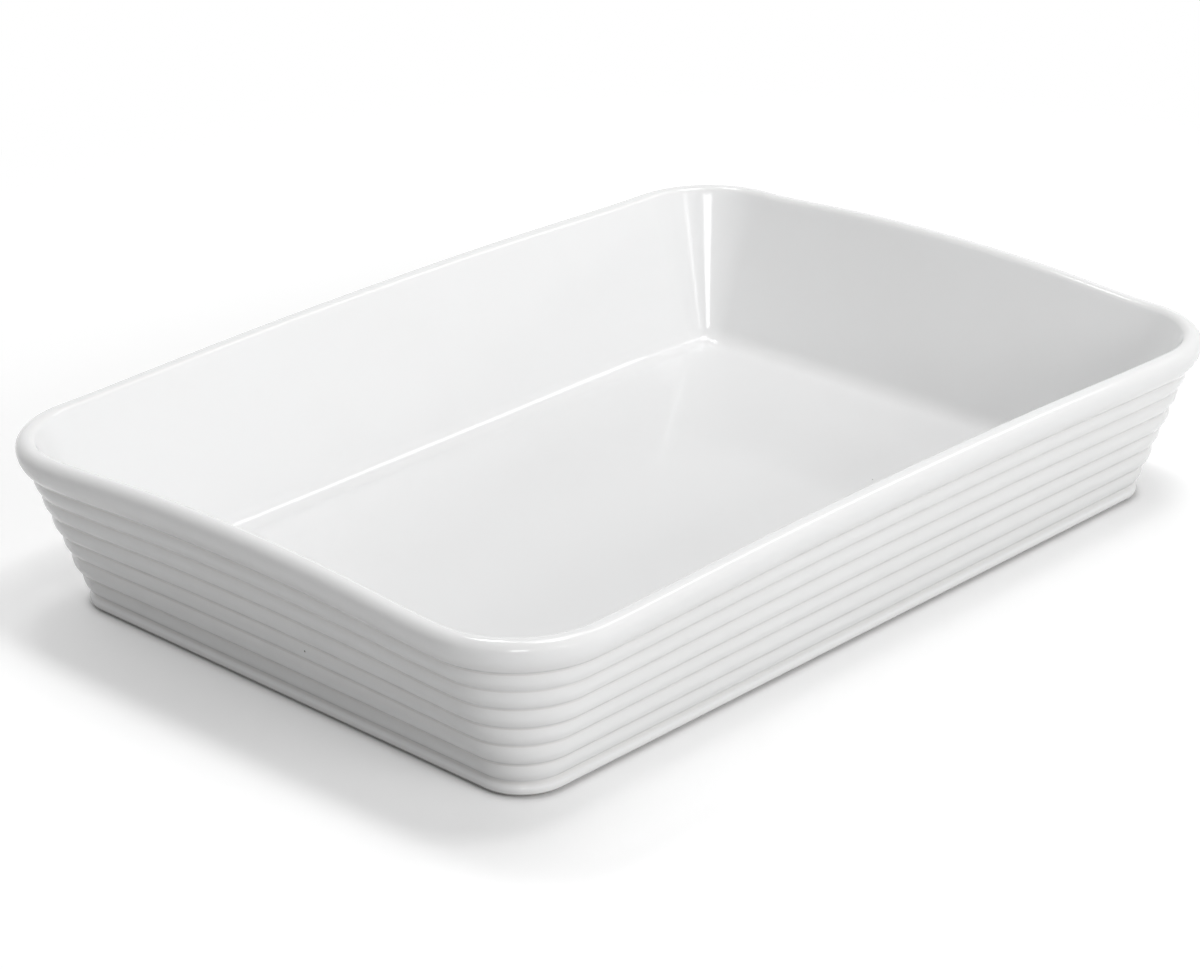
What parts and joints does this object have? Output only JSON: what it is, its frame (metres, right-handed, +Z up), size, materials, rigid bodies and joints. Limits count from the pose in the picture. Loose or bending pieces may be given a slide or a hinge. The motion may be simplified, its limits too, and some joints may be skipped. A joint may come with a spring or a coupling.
{
  "type": "lasagna dish",
  "caption": "Rectangular white porcelain lasagna dish with sloping ribbed walls, rounded corners, a smooth rolled rim and a bare foot ring.",
  "frame": {"origin": "middle of the resting plane, on which the flat of the foot ring stands", "axes": "+Z up, out of the dish's open top; +X along the long side; +Y along the short side"},
  "size_m": [0.34, 0.245, 0.0621],
  "materials": {
    "white_glaze": "gloss",
    "bare_porcelain": "matte"
  },
  "bodies": {
    "root": {"porcelain_body": "bare_porcelain", "glaze_coat": "white_glaze", "underside_glaze": "white_glaze"}
  },
  "joints": []
}
